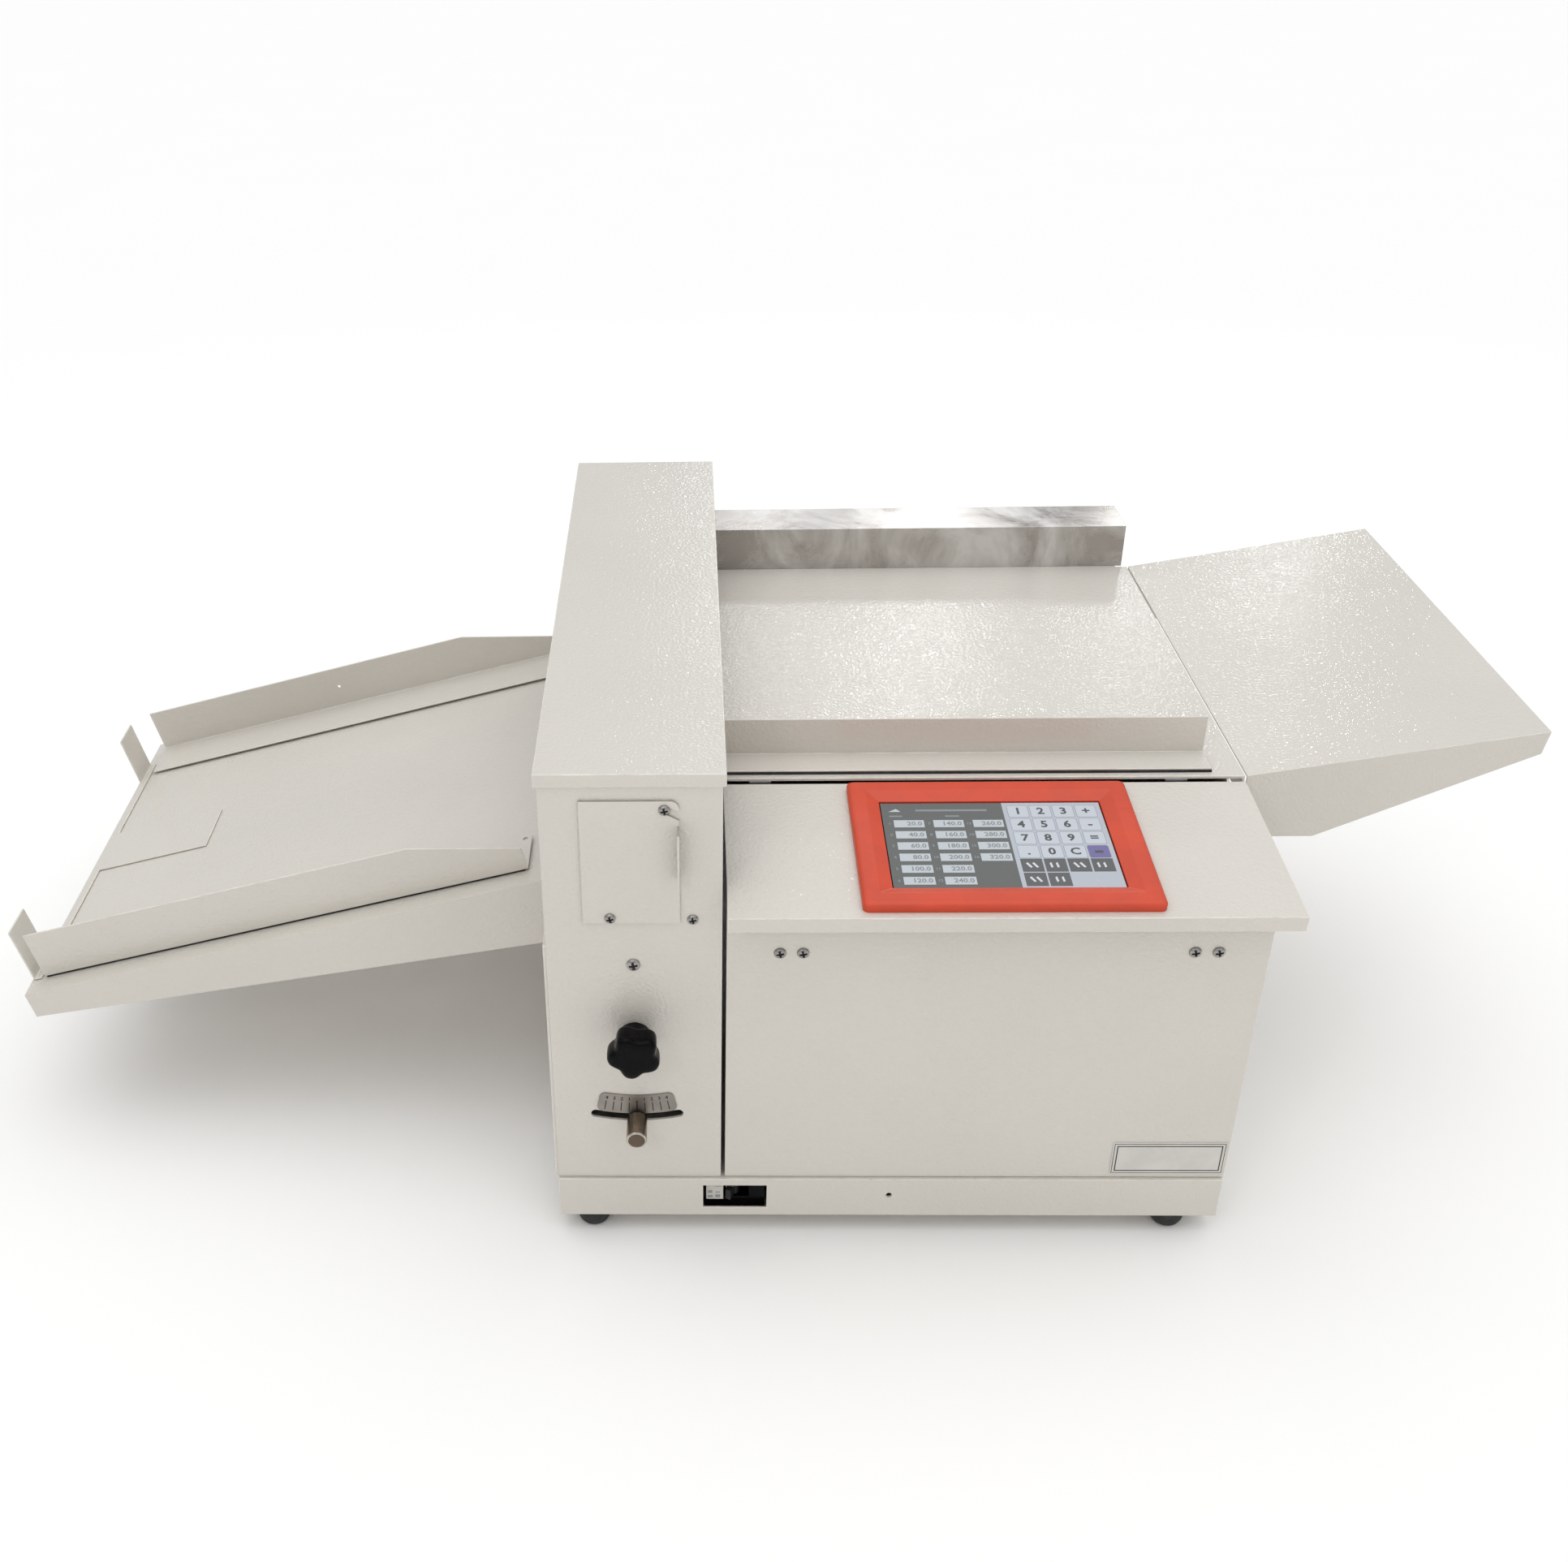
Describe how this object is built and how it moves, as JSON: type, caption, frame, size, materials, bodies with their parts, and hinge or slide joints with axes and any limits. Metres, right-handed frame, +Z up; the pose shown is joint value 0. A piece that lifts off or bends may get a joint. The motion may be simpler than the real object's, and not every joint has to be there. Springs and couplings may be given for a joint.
{
  "type": "paper creasing machine",
  "caption": "Table-top powered paper creasing and perforating machine with a touch screen, feed table, magnetic fences, skew lever and a sloping delivery tray.",
  "frame": {"origin": "bottom centre of the bounding box, on the surface the machine stands on", "axes": "+X against the sheet's travel, towards the extension table; +Y to the back; +Z up"},
  "size_m": [1.1436, 0.6004, 0.4],
  "materials": {
    "ivory_powder_coat": "orange-peel powder coat",
    "rubber_black": "matt",
    "stainless": "polished, smudged",
    "steel_plate": "ground",
    "bright_steel": "bright",
    "frame_plate": "milled",
    "nickel": "dull nickel",
    "bronze": "sintered bush",
    "bezel_orange": "satin paint",
    "screen": "display behind a touch panel",
    "dark_plastic": "moulded",
    "knob_black": "moulded",
    "label": "printed film",
    "motor_black": "satin black",
    "zinc_case": "zinc plated sheet",
    "circuit_board": "solder mask",
    "roller_rubber": "ground rubber"
  },
  "bodies": {
    "machine": {"base_pan": "ivory_powder_coat", "tower_front_panel": "ivory_powder_coat", "tower_shell": "ivory_powder_coat", "tower_left_cover": "ivory_powder_coat", "front_panel": "ivory_powder_coat", "right_side_panel": "ivory_powder_coat", "rear_panel": "ivory_powder_coat", "console": "ivory_powder_coat", "feed_table": "ivory_powder_coat", "rubber_feet": "rubber_black", "feed_belts": "rubber_black", "main_belt": "rubber_black", "rear_fence": "stainless", "front_frame": "frame_plate", "rear_frame": "frame_plate", "tie_bars": "steel_plate", "bed_beam": "steel_plate", "lock_bracket": "steel_plate", "panel_screws": "bright_steel", "scale_plate": "nickel", "shaft_bushes": "bronze", "touch_screen_bezel": "bezel_orange", "touch_screen_module": "screen", "mains_inlet": "dark_plastic", "breaker_body": "dark_plastic", "name_plate": "label", "feed_motor": "motor_black", "main_motor": "motor_black", "power_supply": "zinc_case", "control_board": "circuit_board"},
    "door": {"access_door": "ivory_powder_coat"},
    "knob": {"star_knob": "knob_black"},
    "skew": {"skew_lever": "steel_plate", "lever_handle": "nickel"},
    "die": {"die_bar": "steel_plate", "die_insert": "bright_steel", "guide_columns": "bright_steel", "return_springs": "bright_steel"},
    "beam": {"crease_beam": "steel_plate", "crease_blade": "bright_steel"},
    "cams": {"cam_shaft": "steel_plate", "beam_cams": "bright_steel", "cam_pulley": "steel_plate"},
    "main_pulley": {"main_motor_pulley": "steel_plate"},
    "infeed_lower": {"infeed_lower_roller": "roller_rubber"},
    "infeed_upper": {"infeed_upper_roller": "roller_rubber"},
    "outfeed_lower": {"outfeed_lower_roller": "roller_rubber"},
    "outfeed_upper": {"outfeed_upper_roller": "roller_rubber"},
    "feed_pulley": {"feed_motor_pulley": "steel_plate"},
    "toggle": {"breaker_toggle": "dark_plastic"},
    "feed_fence": {"front_fence": "ivory_powder_coat", "front_fence_magnet": "rubber_black"},
    "extension": {"extension_table": "ivory_powder_coat"},
    "tray": {"delivery_tray": "ivory_powder_coat"},
    "front_guide": {"front_tray_guide": "ivory_powder_coat", "front_guide_magnet": "rubber_black"},
    "rear_guide": {"rear_tray_guide": "ivory_powder_coat", "rear_guide_magnet": "rubber_black"},
    "stop": {"end_stop": "ivory_powder_coat"},
    "lid": {"top_cover": "ivory_powder_coat"}
  },
  "joints": [
    {"name": "door_swing", "type": "hinge", "parent": "machine", "child": "door", "pos_m": [-0.09102, -0.26715, 0.2879], "axis": [0, -1, 0], "range_deg": [0, 100]},
    {"name": "knob_turn", "type": "hinge", "parent": "machine", "child": "knob", "pos_m": [-0.07622, -0.26715, 0.191], "axis": [0, 1, 0], "range_deg": [0, 360]},
    {"name": "lever_swing", "type": "hinge", "parent": "machine", "child": "skew", "pos_m": [-0.07622, -0.26715, 0.248], "axis": [0, 1, 0], "range_deg": [-12, 12]},
    {"name": "die_skew", "type": "hinge", "parent": "machine", "child": "die", "pos_m": [-0.07572, 0.21785, 0.3], "axis": [0, 0, 1], "range_deg": [-0.5, 0.5]},
    {"name": "beam_press", "type": "slide", "parent": "die", "child": "beam", "axis": [0, 0, 1], "range_m": [-0.007, 0], "stiffness_N_per_m": 3000, "springref_m": 0.025, "deforming": ["return_springs"]},
    {"name": "cam_turn", "type": "hinge", "parent": "machine", "child": "cams", "pos_m": [-0.07572, 0.03285, 0.3662], "axis": [0, 1, 0], "range_deg": [0, 140]},
    {"name": "main_motor_turn", "type": "hinge", "parent": "machine", "child": "main_pulley", "pos_m": [-0.07572, 0.27285, 0.15], "axis": [0, 1, 0], "range_deg": [0, 140]},
    {"name": "infeed_lower_spin", "type": "hinge", "parent": "machine", "child": "infeed_lower", "pos_m": [-0.03972, 0.03285, 0.3048], "axis": [0, 1, 0], "continuous": true},
    {"name": "infeed_upper_spin", "type": "hinge", "parent": "machine", "child": "infeed_upper", "pos_m": [-0.03972, 0.03285, 0.3298], "axis": [0, 1, 0], "continuous": true},
    {"name": "outfeed_lower_spin", "type": "hinge", "parent": "machine", "child": "outfeed_lower", "pos_m": [-0.11172, 0.03285, 0.3048], "axis": [0, 1, 0], "continuous": true},
    {"name": "outfeed_upper_spin", "type": "hinge", "parent": "machine", "child": "outfeed_upper", "pos_m": [-0.11172, 0.03285, 0.3298], "axis": [0, 1, 0], "continuous": true},
    {"name": "feed_motor_spin", "type": "hinge", "parent": "machine", "child": "feed_pulley", "pos_m": [0.01428, 0.27285, 0.255], "axis": [0, 1, 0], "continuous": true},
    {"name": "breaker_switch", "type": "hinge", "parent": "machine", "child": "toggle", "pos_m": [-0.00572, -0.25765, 0.035], "axis": [0, 0, 1], "range_deg": [0, 50]},
    {"name": "fence_slide", "type": "slide", "parent": "machine", "child": "feed_fence", "axis": [0, 1, 0], "range_m": [-0.004, 0.24]},
    {"name": "extension_pull", "type": "slide", "parent": "machine", "child": "extension", "axis": [1, 0, 0], "range_m": [0, 0.1]},
    {"name": "tray_pull", "type": "slide", "parent": "machine", "child": "tray", "axis": [-1, 0, 0], "range_m": [0, 0.1]},
    {"name": "front_guide_slide", "type": "slide", "parent": "tray", "child": "front_guide", "axis": [0, 1, 0], "range_m": [-0.016, 0.1]},
    {"name": "rear_guide_slide", "type": "slide", "parent": "tray", "child": "rear_guide", "axis": [0, 1, 0], "range_m": [-0.1, 0.014]},
    {"name": "end_stop_slide", "type": "slide", "parent": "tray", "child": "stop", "axis": [-0.9681, 0, -0.2504], "range_m": [0, 0.09]},
    {"name": "cover_lift", "type": "slide", "parent": "machine", "child": "lid", "axis": [0, 0, 1], "range_m": [0, 0.12]}
  ],
  "couplings": [
    {"joint": "die_skew", "follows": "lever_swing", "ratio": 0.030691},
    {"joint": "cam_turn", "follows": "beam_press", "rad_per_m": -349.06},
    {"joint": "main_motor_turn", "follows": "beam_press", "rad_per_m": -349.06},
    {"joint": "infeed_upper_spin", "follows": "infeed_lower_spin", "ratio": -1},
    {"joint": "outfeed_lower_spin", "follows": "infeed_lower_spin", "ratio": 1},
    {"joint": "outfeed_upper_spin", "follows": "infeed_lower_spin", "ratio": -1},
    {"joint": "feed_motor_spin", "follows": "infeed_lower_spin", "ratio": 1}
  ]
}
